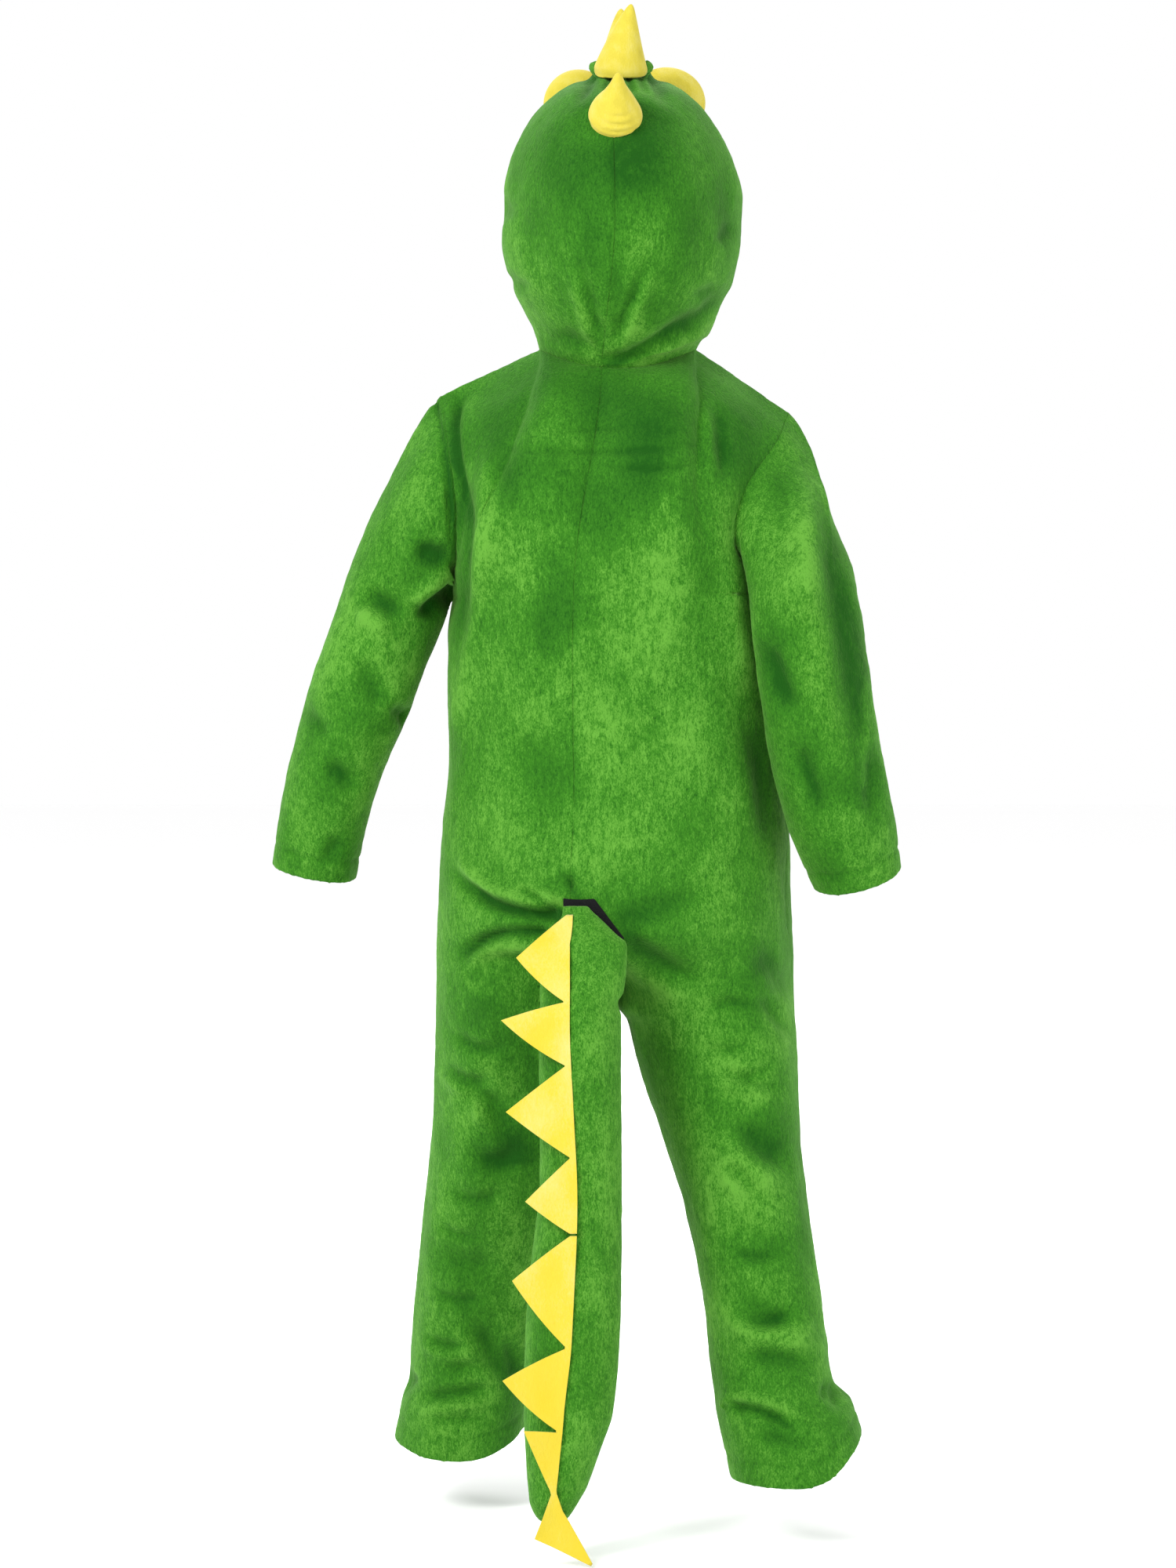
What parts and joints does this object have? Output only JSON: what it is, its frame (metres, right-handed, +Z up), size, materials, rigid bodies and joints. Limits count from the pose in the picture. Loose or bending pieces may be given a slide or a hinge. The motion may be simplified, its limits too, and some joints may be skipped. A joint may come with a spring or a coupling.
{
  "type": "crocodile costume",
  "caption": "Child's all-in-one crocodile costume of green plush: hooded, long-sleeved, wide-legged, with yellow cones and eyes on the hood and a stuffed tail edged with felt plates.",
  "frame": {"origin": "middle of the neck opening, level with the neck seam at the sides, where the shoulders carry the costume", "axes": "+Z up, +X towards the costume's left side, -Y towards its front; the body is as worn by a standing child"},
  "size_m": [0.5598, 0.3372, 1.3427],
  "materials": {
    "green_plush": "short-pile plush, brushed, matt with a soft sheen",
    "yellow_plush": "short smooth plush, matt",
    "yellow_felt": "crisp felt, matt",
    "black_tape": "woven hook-and-loop tape, matt"
  },
  "bodies": {
    "root": {"back_left": "green_plush", "back_right": "green_plush", "front_left": "green_plush", "front_right": "green_plush", "sleeve_left": "green_plush", "sleeve_right": "green_plush", "hood_left": "green_plush", "hood_right": "green_plush", "cone_rear": "yellow_plush", "cone_top": "yellow_plush", "cone_front": "yellow_plush", "eye_left": "yellow_plush", "eye_right": "yellow_plush", "tail_left": "green_plush", "tail_right": "green_plush", "plates_upper": "yellow_felt", "plates_lower": "yellow_felt", "tape_seat": "black_tape", "tape_tail": "black_tape", "tape_hook_front": "black_tape", "tape_loop_front": "black_tape"}
  },
  "joints": []
}
